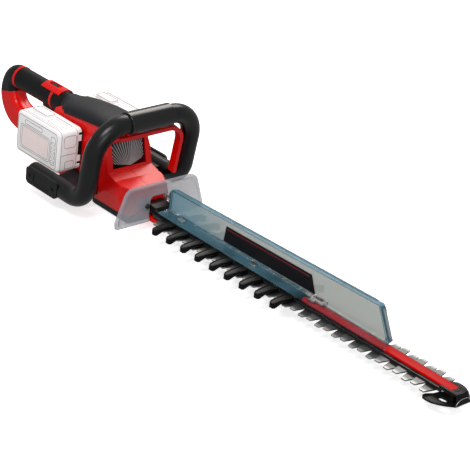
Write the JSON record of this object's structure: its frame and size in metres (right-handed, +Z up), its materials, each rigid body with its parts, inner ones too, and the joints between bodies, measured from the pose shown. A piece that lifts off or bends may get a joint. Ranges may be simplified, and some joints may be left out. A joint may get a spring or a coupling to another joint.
{
  "type": "hedge trimmer",
  "caption": "Cordless hedge trimmer with a double-sided reciprocating blade, front loop handle, rear grip with trigger, side battery packs and a clear cuttings collector.",
  "frame": {"origin": "where the drive gear's axis meets the flat underside of the base cover", "axes": "+X forward along the blade, +Y to the tool's left, +Z up"},
  "size_m": [1.1151, 0.237, 0.1923],
  "materials": {
    "red_plastic": "satin red",
    "black_plastic": "fine grain black",
    "soft_black": "soft black",
    "charcoal_plastic": "charcoal",
    "grey_plastic": "grey",
    "clear_grey": "translucent grey",
    "clear_teal": "translucent teal grey",
    "black_film": "gloss black",
    "steel": "ground",
    "black_bar": "black coated",
    "red_bar": "red coated",
    "black_steel": "black",
    "clip_metal": "bright",
    "cast_plate": "as cast",
    "board": "green board",
    "white_plastic": "white",
    "cells": "wrapped cells"
  },
  "bodies": {
    "frame": {"air_grille": "grey_plastic", "base_cover": "black_plastic", "blade_bolt_1": "steel", "blade_bolt_2": "steel", "blade_bolt_3": "steel", "blade_bolt_4": "steel", "blade_carrier": "black_plastic", "collector_sheet": "clear_teal", "comb_guard": "black_plastic", "control_board": "board", "end_plate_left": "black_plastic", "end_plate_right": "black_plastic", "front_grip": "soft_black", "gear_plate": "cast_plate", "grip_ring_front_left": "red_plastic", "grip_ring_front_right": "red_plastic", "grip_ring_rear": "red_plastic", "guard_screw_left": "steel", "guard_screw_right": "steel", "guide_bar": "black_bar", "hand_guard": "clear_grey", "handle_arm_left": "black_plastic", "handle_arm_right": "black_plastic", "handle_front_shell": "black_plastic", "handle_rear_shell": "black_plastic", "housing_left": "red_plastic", "housing_right": "red_plastic", "label_panel": "black_film", "motor_can": "steel", "pack_rail_left": "black_plastic", "pack_rail_right": "black_plastic", "rear_end_cap": "black_plastic", "rear_grip": "soft_black", "sheet_clip_1": "clip_metal", "sheet_clip_2": "clip_metal", "sheet_clip_3": "clip_metal", "spine_bar": "red_bar", "spine_cover": "charcoal_plastic", "tip_bolt": "steel", "tip_guard": "black_steel", "trigger_pin": "steel", "trigger_switch": "black_plastic"},
    "trigger_body": {"trigger": "black_plastic"},
    "lock_slider_body": {"lock_slider": "red_plastic"},
    "switch_bar_body": {"switch_bar": "red_plastic"},
    "upper_blade_body": {"upper_blade": "steel"},
    "lower_blade_body": {"lower_blade": "steel"},
    "drive_body": {"drive_gear": "steel", "eccentric_shaft": "steel"},
    "rotor_body": {"motor_rotor": "steel", "fan": "black_plastic"},
    "pack_left": {"pack_shell_left": "white_plastic", "pack_lid_left": "white_plastic", "pack_cells_left": "cells"},
    "pack_right": {"pack_shell_right": "white_plastic", "pack_lid_right": "white_plastic", "pack_cells_right": "cells"},
    "latch_left": {"pack_latch_left": "white_plastic"},
    "latch_right": {"pack_latch_right": "white_plastic"}
  },
  "joints": [
    {"name": "trigger_pull", "type": "hinge", "parent": "frame", "child": "trigger_body", "pos_m": [-0.238, 0, 0.11], "axis": [0, 1, 0], "range_deg": [0, 8], "stiffness_Nm_per_rad": 0.7},
    {"name": "lock_slide", "type": "slide", "parent": "frame", "child": "lock_slider_body", "axis": [1, 0, 0], "range_m": [0, 0.006], "stiffness_N_per_m": 400},
    {"name": "switch_bar_squeeze", "type": "slide", "parent": "frame", "child": "switch_bar_body", "axis": [0.1465, 0, 0.9892], "range_m": [0, 0.004], "stiffness_N_per_m": 1500},
    {"name": "upper_blade_stroke", "type": "slide", "parent": "frame", "child": "upper_blade_body", "axis": [1, 0, 0], "range_m": [-0.009, 0.009]},
    {"name": "lower_blade_stroke", "type": "slide", "parent": "frame", "child": "lower_blade_body", "axis": [1, 0, 0], "range_m": [-0.009, 0.009]},
    {"name": "drive_gear_turn", "type": "hinge", "parent": "frame", "child": "drive_body", "pos_m": [0, 0, 0.047], "axis": [0, 0, 1], "range_deg": [-90, 90]},
    {"name": "motor_turn", "type": "hinge", "parent": "frame", "child": "rotor_body", "pos_m": [-0.0504, 0, 0.047], "axis": [0, 0, 1], "range_deg": [-180.01, 180.01]},
    {"name": "pack_left_slide", "type": "slide", "parent": "frame", "child": "pack_left", "axis": [-1, 0, 0], "range_m": [0, 0.12]},
    {"name": "pack_right_slide", "type": "slide", "parent": "frame", "child": "pack_right", "axis": [-1, 0, 0], "range_m": [0, 0.12]},
    {"name": "latch_left_press", "type": "slide", "parent": "pack_left", "child": "latch_left", "axis": [1, 0, 0], "range_m": [0, 0.003], "stiffness_N_per_m": 600},
    {"name": "latch_right_press", "type": "slide", "parent": "pack_right", "child": "latch_right", "axis": [1, 0, 0], "range_m": [0, 0.003], "stiffness_N_per_m": 600}
  ],
  "couplings": [
    {"joint": "lower_blade_stroke", "follows": "upper_blade_stroke", "ratio": -1},
    {"joint": "drive_gear_turn", "follows": "upper_blade_stroke", "rad_per_m": -174.53},
    {"joint": "motor_turn", "follows": "upper_blade_stroke", "rad_per_m": 349.07}
  ]
}
